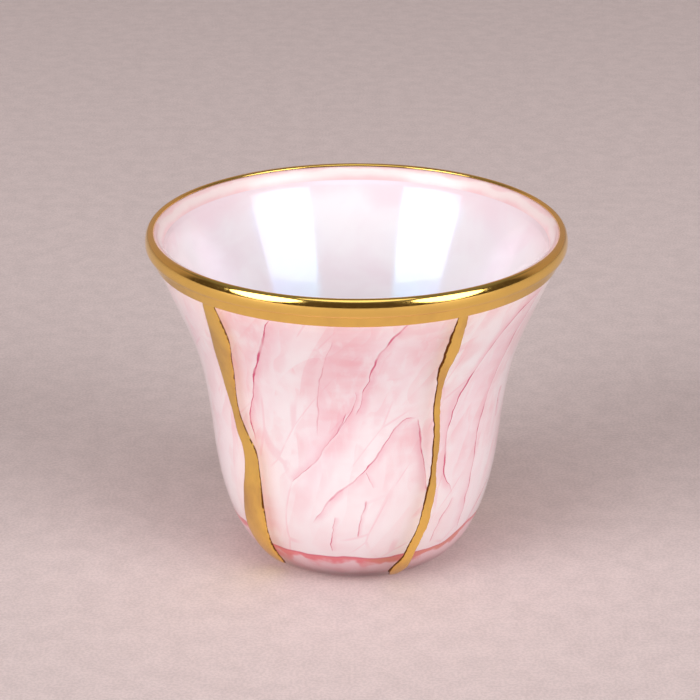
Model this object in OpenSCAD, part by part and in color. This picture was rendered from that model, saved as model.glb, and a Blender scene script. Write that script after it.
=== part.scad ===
// Handleless coffee cup of the Arabic kind. A bell of clear pressed glass is marbled on its inside,
// lined with pearl lustre, and trimmed with a gold lip and raised gold veins. Lengths are in millimetres.
// The origin is the centre of the foot on the table, and +Z runs up the cup's axis.
// Bearings are in degrees from the front of the cup (-Y) towards its right side (+X).

/* [Cup] */
// Height from the table to the crest of the lip
cup_h = 54.2; // [50:0.2:60]
// Diameter over the widest part of the gilded lip
rim_d = 66; // [62:0.5:72]
// Diameter at the waist, where the wall stands steepest
waist_d = 45.8; // [42:0.1:49]
// Height of the waist above the table
waist_h = 20; // [17:0.5:23]
// Outer diameter of the ring that the cup stands on
foot_d = 24.4; // [20:0.2:28]

/* [Glass] */
// Thickness of the glass at the waist
wall_t = 2.5; // [1.8:0.1:3.2]
// Thickness of the glass just under the lip
lip_t = 1.9; // [1.5:0.1:2.4]
// Thickness of the glass under the floor
base_t = 2.8; // [2.2:0.2:5]
// Diameter of the flat part of the floor
floor_d = 22; // [14:0.5:26]
// Diameter of the hollow pressed into the underside
hollow_d = 18; // [12:0.5:21]
// Depth of the hollow at its middle
hollow_depth = 0.8; // [0.4:0.1:1.6]

/* [Bell curve] */
// Lean of the wall at the waist, in degrees from upright
waist_lean = 6; // [3:0.2:12]
// Lean of the wall under the lip, in degrees from upright
lip_lean = 22; // [18:0.5:30]
// Level run of the heel out from the foot before it turns up
heel_reach = 6; // [3:0.5:8]
// Stretch below the waist that keeps the waist's lean outside
heel_rise = 11.4; // [7:0.2:14]
// Stretch above the waist that keeps the waist's lean
waist_rise = 17; // [10:0.5:20]
// Stretch below the lip that keeps the lip's lean
flare_drop = 16; // [10:0.5:19]
// Stretch below the waist that keeps the waist's lean inside
corner_drop = 9.5; // [5:0.5:11]
// Level run of the floor past its flat part before it turns up
corner_reach = 5.5; // [3:0.5:7]

/* [Lip] */
// Height of the rolled bead, from the crease under it to its crest
bead_h = 2.55; // [2:0.05:3.2]
// Height of the bead's crest over its widest line
bead_crown = 1.6; // [1:0.05:1.9]
// Distance that the bead stands out from the circle of its crest
bead_out = 0.65; // [0.4:0.05:1.2]

/* [Coats] */
// Thickness of the marbled enamel inside the glass
enamel_t = 0.2; // [0.1:0.05:0.4]
// Thickness of the pearl lining over the enamel
lining_t = 0.2; // [0.1:0.05:0.4]

/* [Gold] */
// Thickness of the gold band on the lip
band_t = 0.2; // [0.1:0.05:0.3]
// Height of the gold band, from the crest to its lower edge outside
band_h = 4.65; // [3.5:0.05:7]
// Thickness of the raised gold veins
vein_t = 0.3; // [0.15:0.05:0.5]
// Height above the table of the veins' tips on the heel
vein_foot_h = 1; // [0.8:0.1:3]
// Widest sideways swing of a vein, in degrees about the axis
vein_swing = 6; // [2:0.5:9]
// Main width of the broad vein at the front left
front_left_w = 4; // [2:0.1:5.5]
// Main width of the fine vein at the front right
front_right_w = 2; // [1:0.1:3.5]
// Main width of the vein at the back right
back_right_w = 3; // [1.5:0.1:4.5]
// Main width of the vein at the back left
back_left_w = 2.4; // [1.2:0.1:4]
// Bearing of the vein at the front left
front_left_bearing = -48; // [-70:1:-30]
// Bearing of the vein at the front right
front_right_bearing = 29; // [10:1:50]
// Bearing of the vein at the back right
back_right_bearing = 118; // [95:1:140]
// Bearing of the vein at the back left
back_left_bearing = 207; // [185:1:225]

/* [Hidden] */
$fn = 128;

// Points along each curve of the section, and along each edge of a vein
curve_steps = 24;
vein_steps = 32;
// Power that crowds the points of a vein's edges towards its foot
vein_crowding = 1.4;
// Distance that a cutting outline runs past what it cuts
overrun = 1;
// Handle of a cubic curve that draws a quarter of an ellipse, as a share of its half axis
round_share = 0.5523;
// Share of the lip's inner curve that the gold covers
wrap_share = 0.2;
// Handles of a shallow bowl that is cut as a parabola, as shares of its radius and its depth
bowl_r_shares = [0, 1 / 3, 2 / 3, 1];
bowl_z_shares = [1, 1, 2 / 3, 0];

// Rows of a vein from the band down to its tip on the heel: share of the height between the two,
// share of the swing, share of the main width
front_left_shares = [
    [1, 0.55, 0.65], [0.88, 0.4, 1.05], [0.76, -0.15, 0.95], [0.65, -0.45, 0.65], [0.58, -0.35, 0.5],
    [0.51, 0, 0.7], [0.46, 0.45, 0.8], [0.39, 0.5, 0.85], [0.27, 0.15, 1.2], [0.16, -0.3, 1.4],
    [0.09, -0.35, 1.3], [0.03, -0.1, 1], [0, 0, 0.3]
];
front_right_shares = [
    [1, 0.15, 0.85], [0.93, 0.15, 1.2], [0.86, 0.1, 1.15], [0.78, -0.1, 0.9], [0.74, -0.1, 0.6],
    [0.66, 0, 0.62], [0.53, 0.35, 0.58], [0.43, 0.3, 0.58], [0.34, 0.25, 0.75], [0.22, -0.05, 0.95],
    [0.11, -0.65, 1], [0.06, -1, 1.3], [0.03, -1.2, 1.4], [0, -1.3, 0.5]
];
back_right_shares = [
    [1, -0.4, 0.8], [0.9, -0.1, 1.1], [0.78, 0.3, 0.9], [0.66, 0.45, 0.6], [0.56, 0.1, 0.7],
    [0.45, -0.3, 0.9], [0.36, -0.25, 0.7], [0.25, 0.2, 0.85], [0.14, 0.5, 1.2], [0.03, 0.8, 1.1],
    [0, 0.9, 0.4]
];
back_left_shares = [
    [1, 0.3, 0.9], [0.91, 0, 1.2], [0.8, -0.35, 0.8], [0.69, -0.2, 0.6], [0.58, 0.25, 0.65],
    [0.48, 0.4, 0.9], [0.37, 0, 0.75], [0.26, -0.4, 0.7], [0.13, -0.3, 1.1], [0.03, 0.2, 1.3],
    [0, 0.3, 0.5]
];

// Directions in the section, as radius and height, for a wall that leans out by an angle
function up_wall(lean) = [sin(lean), cos(lean)];
function off_wall(lean) = [cos(lean), -sin(lean)];

// Main points of the section
crest = [rim_d / 2 - band_t - bead_out, cup_h - band_t];
crease = [crest.x, crest.y - bead_h];
bead_side = [crest.x + bead_out, crest.y - bead_crown];
waist = [waist_d / 2, waist_h];
foot_edge = [foot_d / 2, 0];
crease_inside = crease - lip_t * off_wall(lip_lean);
waist_inside = waist - wall_t * off_wall(waist_lean);
floor_edge = [floor_d / 2, base_t];
floor_middle = [0, base_t];

// Cubic curves of the section, in order from the foot up the outside, over the lip and down the inside
hollow_curve = [for (i = [0:3]) [hollow_d / 2 * bowl_r_shares[i], hollow_depth * bowl_z_shares[i]]];
heel_curve = [foot_edge, foot_edge + [heel_reach, 0], waist - heel_rise * up_wall(waist_lean), waist];
flare_curve = [
    waist, waist + waist_rise * up_wall(waist_lean), crease - flare_drop * up_wall(lip_lean), crease
];
bead_under_curve = [
    crease, crease + [round_share * bead_out, 0],
    bead_side - [0, round_share * (bead_side.y - crease.y)], bead_side
];
bead_over_curve = [
    bead_side, bead_side + [0, round_share * bead_crown], crest + [round_share * bead_out, 0], crest
];
lip_inside_curve = [
    crest, crest - [round_share * (crest.x - crease_inside.x), 0],
    crease_inside + round_share * (crest.y - crease_inside.y) * up_wall(lip_lean), crease_inside
];
flare_inside_curve = [
    crease_inside, crease_inside - flare_drop * up_wall(lip_lean),
    waist_inside + waist_rise * up_wall(waist_lean), waist_inside
];
corner_curve = [
    waist_inside, waist_inside - corner_drop * up_wall(waist_lean), floor_edge + [corner_reach, 0], floor_edge
];

// Point of a cubic curve, and its direction there
function on_curve(c, t) =
    pow(1 - t, 3) * c[0] + 3 * t * pow(1 - t, 2) * c[1] + 3 * t * t * (1 - t) * c[2] + pow(t, 3) * c[3];
function curve_way(c, t) =
    pow(1 - t, 2) * (c[1] - c[0]) + 2 * t * (1 - t) * (c[2] - c[1]) + t * t * (c[3] - c[2]);

// Point at a distance from the glass, square to the curve
function off_curve(c, t, d) = let (w = curve_way(c, t)) on_curve(c, t) + d * [w.y, -w.x] / norm(w);

// Points along a curve between two of its shares, at a distance from the glass. Pieces that touch
// take the same stretches, so that their faces meet.
function along(c, d = 0, from = 0, to = 1) =
    let (n = ceil(curve_steps * (to - from))) [for (i = [0:n]) off_curve(c, from + (to - from) * i / n, d)];
function turned(path) = [for (i = [len(path) - 1:-1:0]) path[i]];

// Share of a rising curve at which it reaches a height
function share_at(c, z) =
    lookup(z, [for (i = [0:curve_steps]) let (t = i / curve_steps) [on_curve(c, t).y, t]]);
band_share = share_at(flare_curve, cup_h - band_h);
vein_share = share_at(heel_curve, vein_foot_h);
band_low = on_curve(flare_curve, band_share);

// Radius of the outer wall at a height
wall_points = concat(along(heel_curve), along(flare_curve));
wall_table = [for (p = wall_points) [p.y, p.x]];
function wall_r(z) = lookup(z, wall_table);

// Value of one column of a vein's rows at a share of the height, smooth through all the rows
function row_above(rows, h) = max([for (i = [0:len(rows) - 2]) if (i == 0 || rows[i][0] >= h) i]);
function row_tilt(rows, i, col) =
    let (a = rows[max(i - 1, 0)], b = rows[min(i + 1, len(rows) - 1)]) (b[col] - a[col]) / (b[0] - a[0]);
function row_value(rows, h, col) =
    let (
        i = row_above(rows, h),
        span = rows[i + 1][0] - rows[i][0],
        u = (h - rows[i][0]) / span
    )
    (1 + 2 * u) * pow(1 - u, 2) * rows[i][col] + u * pow(1 - u, 2) * span * row_tilt(rows, i, col)
    + u * u * (3 - 2 * u) * rows[i + 1][col] - u * u * (1 - u) * span * row_tilt(rows, i + 1, col);

// One edge of a vein, seen square on from its bearing: side is -1 for the left edge and 1 for the right
function vein_edge(rows, w, side) = [
    for (i = [0:vein_steps])
        let (
            h = pow(i / vein_steps, vein_crowding),
            z = vein_foot_h + h * (band_low.y - vein_foot_h),
            r = wall_r(z),
            swing = vein_swing * row_value(rows, h, 1),
            half = atan(w / 2 * row_value(rows, h, 2) / r)
        )
        [r * sin(swing + side * half), z]
];

// The stretch of wall that carries the veins, and the lip that carries the band, at a distance from the glass
function vein_path(d) = concat(along(heel_curve, d, vein_share), along(flare_curve, d, 0, band_share));
function strip_path(d) = along(flare_curve, d, band_share);
function cap_path(d) = concat(
    along(bead_under_curve, d), along(bead_over_curve, d), along(lip_inside_curve, d, 0, wrap_share)
);

// The inside of the cup down to the middle of the floor, at a distance from the glass
function lining_path(d) = concat(
    along(flare_inside_curve, d), along(corner_curve, d), [floor_middle + [0, d]]
);
function coat_path(d) = concat(along(lip_inside_curve, d, wrap_share), lining_path(d));

// A skin turned about the axis between two distances from the glass along one path
module turned_skin(inner, outer) {
    rotate_extrude()
        polygon(concat(inner, turned(outer)));
}

// A raised vein that hugs the wall from the band down to the heel
module gold_vein(bearing, w, rows) {
    left = vein_edge(rows, w, -1);
    right = vein_edge(rows, w, 1);
    past_end = [0, overrun];
    outline = concat(
        [left[0] - past_end], left, [left[vein_steps] + past_end],
        [right[vein_steps] + past_end], turned(right), [right[0] - past_end]
    );
    color("goldenrod")
        intersection() {
            turned_skin(vein_path(0), vein_path(vein_t));
            rotate([90, 0, bearing])
                linear_extrude(rim_d)
                    polygon(outline);
        }
}

// The formed glass: bell wall, rolled lip, and a base with a hollow under it
module glass_body() {
    color("mistyrose", 0.4)
        rotate_extrude()
            polygon(concat(
                along(hollow_curve), along(heel_curve, 0, 0, vein_share), vein_path(0), strip_path(0),
                cap_path(0), coat_path(0)
            ));
}

// The marbled enamel on the inside of the glass
module marble_enamel() {
    color("pink")
        turned_skin(coat_path(0), coat_path(enamel_t));
}

// The pearl lining over the enamel, below the lip
module pearl_lining() {
    color("ghostwhite")
        turned_skin(lining_path(enamel_t), lining_path(enamel_t + lining_t));
}

// The gold band: a strip on the flare, and a cap over the bead that ends inside the lip
module rim_band() {
    color("gold")
        rotate_extrude() {
            polygon(concat(strip_path(0), turned(strip_path(band_t))));
            polygon(concat(cap_path(0), turned(cap_path(band_t))));
        }
}

module gold_vein_front_left() { gold_vein(front_left_bearing, front_left_w, front_left_shares); }
module gold_vein_front_right() { gold_vein(front_right_bearing, front_right_w, front_right_shares); }
module gold_vein_back_right() { gold_vein(back_right_bearing, back_right_w, back_right_shares); }
module gold_vein_back_left() { gold_vein(back_left_bearing, back_left_w, back_left_shares); }

glass_body();
marble_enamel();
pearl_lining();
rim_band();
gold_vein_front_left();
gold_vein_front_right();
gold_vein_back_right();
gold_vein_back_left();
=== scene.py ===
"""Small glass coffee cup: marbled enamel behind clear glass, pearl inside, gold on lip and wall.

Lengths are in metres and angles in radians, except in the lists of routes, which a maker would
note in degrees and millimetres. A place on the wall is a bearing, counted from the front towards
the right, and a height above the table.
"""

import math

import bpy
import numpy as np
from mathutils import Color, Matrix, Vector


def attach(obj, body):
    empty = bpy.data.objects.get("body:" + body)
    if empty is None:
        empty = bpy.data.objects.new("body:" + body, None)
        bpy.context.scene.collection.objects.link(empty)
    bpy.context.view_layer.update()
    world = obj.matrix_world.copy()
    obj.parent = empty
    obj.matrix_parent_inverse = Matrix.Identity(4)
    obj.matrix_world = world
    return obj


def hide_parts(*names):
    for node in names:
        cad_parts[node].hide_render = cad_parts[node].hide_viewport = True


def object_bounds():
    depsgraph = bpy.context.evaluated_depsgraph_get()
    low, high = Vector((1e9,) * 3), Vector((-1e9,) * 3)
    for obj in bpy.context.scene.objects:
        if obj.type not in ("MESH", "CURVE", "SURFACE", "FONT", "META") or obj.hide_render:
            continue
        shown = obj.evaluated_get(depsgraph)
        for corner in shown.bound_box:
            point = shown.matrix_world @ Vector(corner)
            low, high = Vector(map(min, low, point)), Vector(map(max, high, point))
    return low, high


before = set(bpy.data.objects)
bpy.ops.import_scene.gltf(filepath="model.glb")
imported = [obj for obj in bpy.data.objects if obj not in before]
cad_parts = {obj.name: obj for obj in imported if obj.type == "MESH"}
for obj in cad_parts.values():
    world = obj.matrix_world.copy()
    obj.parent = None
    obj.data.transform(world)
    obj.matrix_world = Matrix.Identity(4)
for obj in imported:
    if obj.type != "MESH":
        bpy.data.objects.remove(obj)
CAD_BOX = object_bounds()

bl_info = {
    "name": "Glass Coffee Cup",
    "version": (1, 0, 0),
    "blender": (4, 5, 0),
    "location": "View3D > Sidebar > Coffee Cup",
    "description": "Small bell-shaped glass cup with marbled enamel, a pearl lining and gold",
    "category": "Add Mesh",
}

MM = 0.001
BODY = "root"
FULL_TURN = 2 * math.pi

# Width of the photograph's frame in pixels, and of the camera's sensor.
FRAME_PX = 700
SENSOR_W = 0.036

# Share of a quarter round's radius at which its cubic has its handles.
ROUND_SHARE = 0.5523

# How the hollow under the foot curves, as shares of its radius and depth.
BOWL_R_SHARES = np.array((0, 1 / 3, 2 / 3, 1))
BOWL_Z_SHARES = np.array((1, 1, 2 / 3, 0))

# Points round a full ring, and those of a gold vein up the wall and across.
COLUMNS = 224
VEIN_ROWS = 260
VEIN_ACROSS = 24

# Steps along each curve of the glass's section.
GLASS_STEPS = {
    "hollow": 12, "foot": 6, "heel": 44, "flare": 44, "bead_under": 10, "bead_over": 10,
    "lip_inside": 14, "flare_inside": 44, "corner": 32, "floor": 6,
}

# How far a coat or the gold is sunk into the glass, so that no air shows between them.
BOND = 0.03 * MM

# Width of the thin edge of the enamel and of the lining, and the round of the band's edges.
ENAMEL_FEATHER = 0.4 * MM
LINING_FEATHER = 1.2 * MM
BAND_ROUND = 0.35 * MM

# How far a gold vein runs in under the band, and the stretch at its top where it thins for that.
VEIN_TUCK = 0.4 * MM
VEIN_THINNING = 1.2 * MM

# Share of a lamp's light that one face of a vein lets by.
VEIN_PASS = 0.85

# How dark the dark specks of the table top are, as a share of its colour.
FLOOR_SHADE = 0.83

# Each gold vein from the band down to the foot: share of its height, of its swing, of its width.
FRONT_LEFT_VEIN = (
    (1, 0.55, 0.65), (0.88, 0.4, 1.05), (0.76, -0.15, 0.95), (0.65, -0.45, 0.65),
    (0.58, -0.35, 0.5), (0.51, 0, 0.7), (0.46, 0.45, 0.8), (0.39, 0.5, 0.85),
    (0.27, 0.15, 1.2), (0.16, -0.3, 1.4), (0.09, -0.35, 1.3), (0.03, -0.1, 1), (0, 0, 0.3),
)
FRONT_RIGHT_VEIN = (
    (1, 0.15, 0.85), (0.93, 0.15, 1.2), (0.86, 0.1, 1.15), (0.78, -0.1, 0.9),
    (0.74, -0.1, 0.6), (0.66, 0, 0.62), (0.53, 0.35, 0.58), (0.43, 0.3, 0.58),
    (0.34, 0.25, 0.75), (0.22, -0.05, 0.95), (0.11, -0.65, 1), (0.06, -1, 1.3),
    (0.03, -1.2, 1.4), (0, -1.3, 0.5),
)
BACK_RIGHT_VEIN = (
    (1, -0.4, 0.8), (0.9, -0.1, 1.1), (0.78, 0.3, 0.9), (0.66, 0.45, 0.6),
    (0.56, 0.1, 0.7), (0.45, -0.3, 0.9), (0.36, -0.25, 0.7), (0.25, 0.2, 0.85),
    (0.14, 0.5, 1.2), (0.03, 0.8, 1.1), (0, 0.9, 0.4),
)
BACK_LEFT_VEIN = (
    (1, 0.3, 0.9), (0.91, 0, 1.2), (0.8, -0.35, 0.8), (0.69, -0.2, 0.6),
    (0.58, 0.25, 0.65), (0.48, 0.4, 0.9), (0.37, 0, 0.75), (0.26, -0.4, 0.7),
    (0.13, -0.3, 1.1), (0.03, 0.2, 1.3), (0, 0.3, 0.5),
)

# The veins' routes, bearings in degrees, main widths and ragged edges in millimetres, and which
# share of their left and right halves is darkened at the edge: burnt gold with painted shade.
VEINS = {
    "front_left": (FRONT_LEFT_VEIN, -48, 4.0, 0.05, (0.05, 0.15)),
    "front_right": (FRONT_RIGHT_VEIN, 29, 2.0, 0.16, (0.3, 0.1)),
    "back_right": (BACK_RIGHT_VEIN, 118, 3.0, 0.1, (0.1, 0.2)),
    "back_left": (BACK_LEFT_VEIN, 207, 2.4, 0.12, (0.3, 0.1)),
}

# Cracks painted in the enamel, from the top down: bearing in degrees and height in millimetres.
# Each has its width and the reach of its soft side in millimetres, to the right where positive,
# and how deep its colour is.
CRACKS = (
    (((-25, 50), (-32, 43), (-40, 36), (-45, 29), (-44, 24)), 0.2, 2.4, 1.0),
    (((15, 50), (8, 45), (5, 41), (1, 34), (-1, 32)), 0.16, 1.8, 0.9),
    (((-3, 33), (-8, 29), (-16, 24), (-28, 19)), 0.16, -1.4, 0.7),
    (((0, 37), (-2, 33), (-7, 29)), 0.14, 1.0, 0.6),
    (((-7, 47), (-13, 38), (-16, 28)), 0.12, 3.0, 0.4),
    (((24, 31), (18, 31), (12, 27), (1, 21), (-11, 17), (-21, 12)), 0.16, 1.6, 0.9),
    (((4, 22), (7, 19)), 0.14, 0.8, 0.6),
    (((24, 31), (27, 25), (31, 17)), 0.17, -2.0, 0.9),
    (((70, 49), (56, 46), (45, 37), (39, 29), (39, 20), (46, 15)), 0.17, -1.6, 0.9),
    (((46, 15), (41, 11), (38, 7)), 0.14, 1.0, 0.5),
    (((68, 49), (63, 42), (60, 33), (57, 26), (57, 19), (56, 13), (56, 7)), 0.17, -2.0, 0.7),
    (((72, 31), (71, 29), (73, 25)), 0.22, 1.4, 0.8),
    (((78, 14), (63, 8), (59, 6)), 0.16, 1.2, 0.6),
    (((-9, 14), (-12, 10), (-13, 7)), 0.16, 1.0, 0.8),
    (((4, 17), (2, 14), (0, 10)), 0.15, 0.8, 0.6),
)

# How far a crack is pushed aside by its uneven line, how far from it its field ends, and the
# stretch before that over which it fades, in millimetres.
CRACK_UNEVEN = 0.22
CRACK_REACH = 6.0
CRACK_FADE = 2.0

# Brushed fields of the marbling, each crisp on one side: how many go round the cup, their slant
# in degrees for each millimetre up, and how strong they are.
SWEEPS = ((9, 1.0, 0.36), (13, 1.8, 0.3), (29, 0.6, 0.22))

# Height of the coral ring in the enamel, and how much higher it runs on the two sides.
RING_H = 6 * MM
RING_LIFT = 2 * MM

# Pinker clouds in the enamel: bearing and height, half width and half height, all in degrees
# and millimetres, and how deep.
BLUSHES = (
    (-2, 42, 9, 8, 0.9), (-8, 33, 7, 9, 0.7), (20, 46, 7, 5, 0.6), (20, 27, 6, 6, 0.6),
    (-36, 47, 8, 6, 0.6), (-44, 11, 7, 5, 0.6), (60, 36, 8, 12, 0.5), (-10, 9, 10, 3, 0.3),
)


def length(name, description, millimetres):
    """A length that the user may change, its default given in millimetres."""
    return bpy.props.FloatProperty(
        name=name, description=description, default=millimetres * MM, min=0.0,
        precision=5, unit="LENGTH", subtype="DISTANCE",
    )


def angle(name, description, degrees):
    """An angle that the user may change, its default given in degrees."""
    return bpy.props.FloatProperty(
        name=name, description=description, default=math.radians(degrees),
        unit="ROTATION", subtype="ANGLE",
    )


def level(name, description, value):
    """A brightness that the user may change, where 1 is white."""
    return bpy.props.FloatProperty(name=name, description=description, default=value, min=0.0)


def colour(name, description, red, green, blue):
    """A colour that the user may change, its default as it shows on a screen, from 0 to 255."""
    return bpy.props.FloatVectorProperty(
        name=name, description=description, default=linear(red, green, blue),
        min=0.0, max=1.0, size=3, subtype="COLOR",
    )


def linear(red, green, blue):
    """Screen colour to scene colour: the low end is divided, the rest is a power of 2.4."""
    screen = np.array((red, green, blue)) / 255
    low, high = screen / 12.92, ((screen + 0.055) / 1.055) ** 2.4
    return tuple(float(value) for value in np.where(screen <= 0.04045, low, high))


class CupSizes(bpy.types.PropertyGroup):
    """The cup's section and its gold, the same values as the solids have."""

    cup_h: length("Height", "Table to the top of the lip", CAD_BOX[1].z / MM)
    rim_d: length("Rim diameter", "Across the gold lip", (CAD_BOX[1].x - CAD_BOX[0].x) / MM)
    waist_d: length("Waist diameter", "Across the wall where the heel ends", 45.8)
    waist_h: length("Waist height", "Height at which the heel ends", 20)
    foot_d: length("Foot diameter", "Across the flat that it stands on", 24.4)
    wall_t: length("Wall", "Glass at the waist", 2.5)
    lip_t: length("Lip wall", "Glass under the lip", 1.9)
    base_t: length("Base", "Glass under the cup's floor", 2.8)
    floor_d: length("Floor diameter", "Flat of the floor inside", 22)
    hollow_d: length("Hollow diameter", "Across the hollow under the foot", 18)
    hollow_depth: length("Hollow depth", "Rise of the hollow under the foot", 0.8)
    heel_reach: length("Heel reach", "Pull of the heel's curve at the foot", 6)
    heel_rise: length("Heel rise", "Pull of the heel's curve at the waist", 11.4)
    waist_rise: length("Waist rise", "Pull of the flare's curve at the waist", 17)
    flare_drop: length("Flare drop", "Pull of the flare's curve at the lip", 16)
    corner_drop: length("Corner drop", "Pull of the inner corner's curve at the waist", 9.5)
    corner_reach: length("Corner reach", "Pull of the inner corner's curve at the floor", 5.5)
    bead_h: length("Bead height", "Crease under the bead to its top", 2.55)
    bead_crown: length("Bead crown", "Widest part of the bead to its top", 1.6)
    bead_out: length("Bead reach", "How far the bead stands out", 0.65)
    enamel_t: length("Enamel", "Thickness of the enamel", 0.2)
    lining_t: length("Lining", "Thickness of the pearl lining", 0.2)
    band_t: length("Gold band", "Thickness of the gold on the lip", 0.2)
    band_h: length("Gold band height", "Lip's top to the gold's lower edge", 4.65)
    vein_t: length("Gold vein", "How far a vein stands off the glass", 0.3)
    vein_foot_h: length("Vein foot", "Height at which a vein ends", 1)
    waist_lean: angle("Waist lean", "Slope of the wall at the waist", 6)
    lip_lean: angle("Lip lean", "Slope of the wall under the lip", 22)
    vein_swing: angle("Vein swing", "How far a vein wanders to each side", 6)
    wrap_share: bpy.props.FloatProperty(
        name="Gold wrap", description="Share of the inner lip that the gold covers",
        default=0.2, min=0.1, max=0.9, subtype="FACTOR",
    )


class CupColours(bpy.types.PropertyGroup):
    """The colours of the cup's finishes and of its stage."""

    enamel_pale: colour("Pale enamel", "Palest part of the marbling", 252, 243, 247)
    enamel_pink: colour("Pink enamel", "Fields of the marbling", 250, 227, 235)
    enamel_blush: colour("Blush", "Pinkest clouds of the marbling", 244, 188, 198)
    enamel_crack: colour("Crack", "Thin lines in the marbling", 212, 76, 120)
    enamel_bleed: colour("Crack bleed", "Soft side of a crack", 240, 164, 184)
    enamel_coral: colour("Coral ring", "Soft side of the ring round the base", 241, 134, 143)
    enamel_amber: colour("Amber ring", "Browner stretches of that ring", 222, 150, 120)
    enamel_base: colour("Base enamel", "Enamel below that ring", 250, 216, 224)
    glaze: colour("Lip glaze", "Middle of the glaze inside the lip", 251, 231, 230)
    glaze_low: colour("Lip glaze edges", "Glaze next to the pearl and to the gold", 246, 204, 207)
    pearl: colour("Pearl", "Lining", 252, 247, 251)
    pearl_shade: colour("Pearl shade", "Lilac clouds of the lining", 248, 236, 243)
    gold: colour("Gold", "Polished gold", 255, 213, 113)
    gold_worn: colour("Worn gold", "Thin or worn gold", 206, 160, 106)
    # Dark vein edges: burnt gold, with painted shade along the raised side of the vein.
    gold_burn_and_shade: colour("Gold edge", "Burnt edge of a vein", 120, 76, 36)
    floor: colour("Floor", "Matt table top", 231, 214, 213)
    paper: colour("Paper", "Paper that rises behind the cup, out of sight", 226, 196, 190)
    room: colour("Room", "Dim room round the table", 255, 222, 196)
    ceiling: colour("Ceiling", "Pale ceiling over the table", 255, 253, 252)


class StageSettings(bpy.types.PropertyGroup):
    """Where the camera and the lamps stand."""

    view_distance: length("View distance", "Camera to the middle of the rim", 400)
    view_rise: angle("View rise", "Camera above the rim, seen from the rim", 19.13)
    view_pitch: angle("View pitch", "Camera's slope down from level", 21.9)
    view_shift: length("View aside", "Camera to the left of the cup's axis", 1)
    focal_px: bpy.props.FloatProperty(
        name="Focal length", description="Camera's focal length in pixels of the photograph",
        default=2559, min=100, subtype="PIXEL",
    )
    lamp_distance: length("Lamp distance", "Cup to each soft box", 1400)
    lamp_side: angle("Lamp side", "Each soft box's bearing from the front", 51.5)
    lamp_rise: angle("Lamp rise", "Each soft box above level", 25)
    lamp_w: length("Lamp width", "Width of a soft box", 938)
    lamp_h: length("Lamp height", "Height of a soft box", 1092)
    top_rise: angle("Top lamp rise", "Soft box overhead, above level", 70)
    top_w: length("Top lamp width", "Across the soft box overhead", 1050)
    floor_w: length("Floor width", "Side of the table top", 4000)
    floor_drop: length("Floor drop", "Thin film of air between the foot and the table", 0.05)
    left_level: level("Left lamp level", "Left soft box", 5.45)
    right_level: level("Right lamp level", "Right soft box", 4.95)
    top_level: level("Top lamp level", "Soft box overhead", 1.15)
    sky_level: level("Sky level", "Light from straight above", 0.2)
    horizon_level: level("Horizon level", "Light from level", 0.08)
    paper_level: level("Paper level", "Paper that rises behind the cup", 0.55)


def settings():
    """The scene's sizes, colours and stage, as one group each."""
    scene = bpy.context.scene
    return scene.cup_sizes, scene.cup_colours, scene.cup_stage


# Section of the cup


def wall_directions(lean):
    """Unit steps up a wall that leans outwards by this angle, and straight off its outer face."""
    up = np.array((math.sin(lean), math.cos(lean)))
    return up, np.array((up[1], -up[0]))


def section_curves(cup):
    """The cup's half section as cubic curves, each of four (radius, height) corners.

    They run round the glass in one direction, from under the foot up the outside, over the lip
    and down the inside, so that the side to the right of the travel is off the glass.
    """
    waist_up, waist_off = wall_directions(cup.waist_lean)
    lip_up, lip_off = wall_directions(cup.lip_lean)
    crest = np.array((cup.rim_d / 2 - cup.band_t - cup.bead_out, cup.cup_h - cup.band_t))
    crease = crest - (0, cup.bead_h)
    bead_side = crest + (cup.bead_out, -cup.bead_crown)
    waist = np.array((cup.waist_d / 2, cup.waist_h))
    foot_edge = np.array((cup.foot_d / 2, 0))
    hollow_edge = np.array((cup.hollow_d / 2, 0))
    crease_in = crease - cup.lip_t * lip_off
    waist_in = waist - cup.wall_t * waist_off
    floor_edge = np.array((cup.floor_d / 2, cup.base_t))
    floor_middle = np.array((0, cup.base_t))
    under = ROUND_SHARE * (bead_side[1] - crease[1])
    over = ROUND_SHARE * cup.bead_crown
    out = np.array((ROUND_SHARE * cup.bead_out, 0))
    turn_in = np.array((ROUND_SHARE * (crest[0] - crease_in[0]), 0))
    turn_down = ROUND_SHARE * (crest[1] - crease_in[1]) * lip_up
    return {
        "hollow": np.column_stack(
            (hollow_edge[0] * BOWL_R_SHARES, cup.hollow_depth * BOWL_Z_SHARES)
        ),
        "foot": straight(hollow_edge, foot_edge),
        "heel": np.array((foot_edge, foot_edge + (cup.heel_reach, 0),
                          waist - cup.heel_rise * waist_up, waist)),
        "flare": np.array((waist, waist + cup.waist_rise * waist_up,
                           crease - cup.flare_drop * lip_up, crease)),
        "bead_under": np.array((crease, crease + out, bead_side - (0, under), bead_side)),
        "bead_over": np.array((bead_side, bead_side + (0, over), crest + out, crest)),
        "lip_inside": np.array((crest, crest - turn_in, crease_in + turn_down, crease_in)),
        "flare_inside": np.array((crease_in, crease_in - cup.flare_drop * lip_up,
                                  waist_in + cup.waist_rise * waist_up, waist_in)),
        "corner": np.array((waist_in, waist_in - cup.corner_drop * waist_up,
                            floor_edge + (cup.corner_reach, 0), floor_edge)),
        "floor": straight(floor_edge, floor_middle),
    }


def straight(start, end):
    """A straight line as a cubic: corners at thirds of the way."""
    return start + np.linspace(0, 1, 4)[:, None] * (end - start)


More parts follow.
